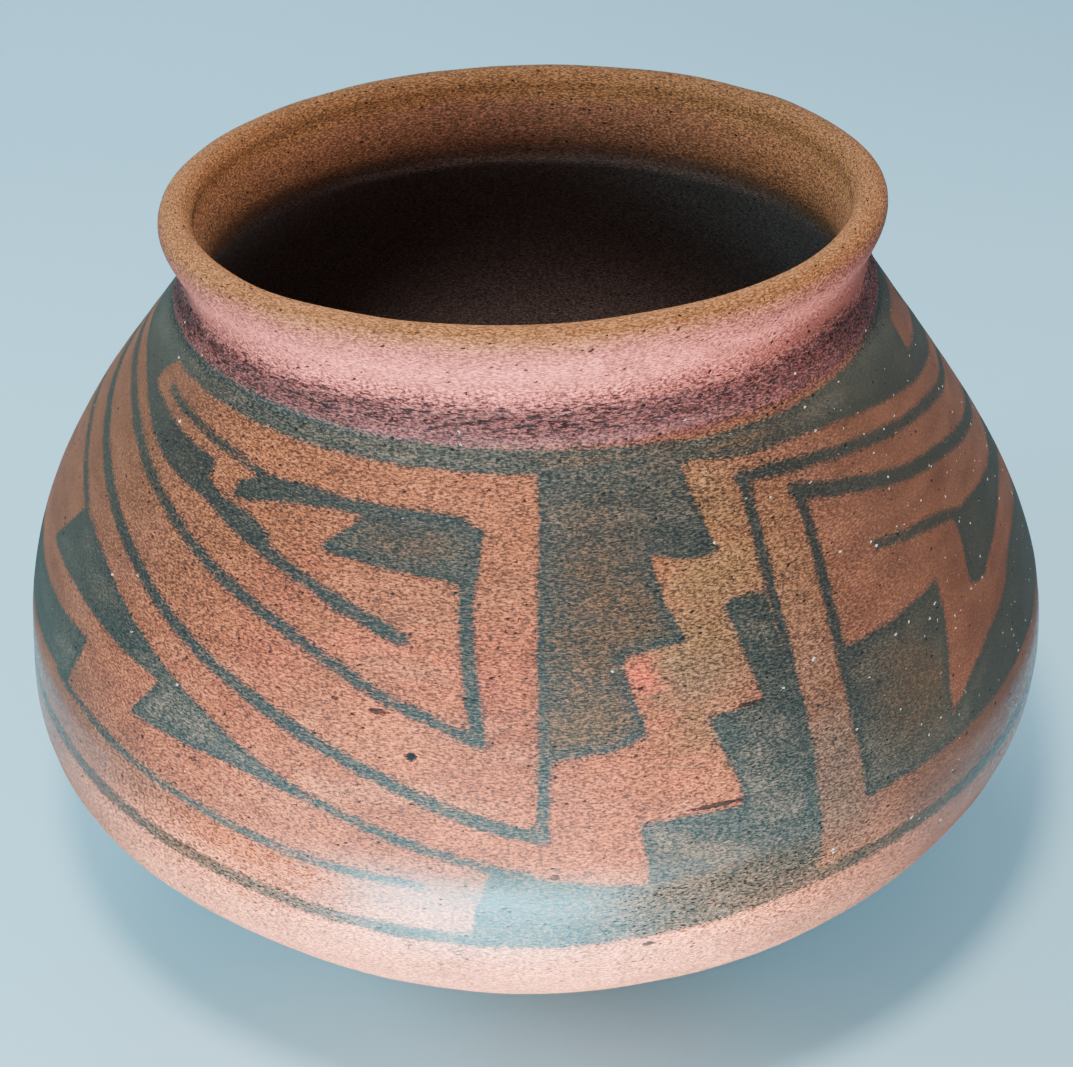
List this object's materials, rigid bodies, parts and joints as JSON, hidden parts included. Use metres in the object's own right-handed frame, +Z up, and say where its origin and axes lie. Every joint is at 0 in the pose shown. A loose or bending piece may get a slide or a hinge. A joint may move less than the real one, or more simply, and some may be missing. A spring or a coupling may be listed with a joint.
{
  "type": "painted pottery jar (olla)",
  "caption": "Low, wide pottery storage jar with a sharply turned belly, open mouth, short neck and rolled lip, painted with bold stepped and swept line figures.",
  "frame": {"origin": "middle of the flat spot that the jar rests on", "axes": "+Z up through the mouth; -Y is the front, where the painted panel's long upright line is"},
  "size_m": [0.3001, 0.3, 0.2181],
  "materials": {
    "fired_clay": "burnished orange-red slip with worn dark grey-green painted figures, bare pinkish neck, orange-tan lip, pitted and finely scraped"
  },
  "bodies": {
    "root": {"jar": "fired_clay"}
  },
  "joints": []
}
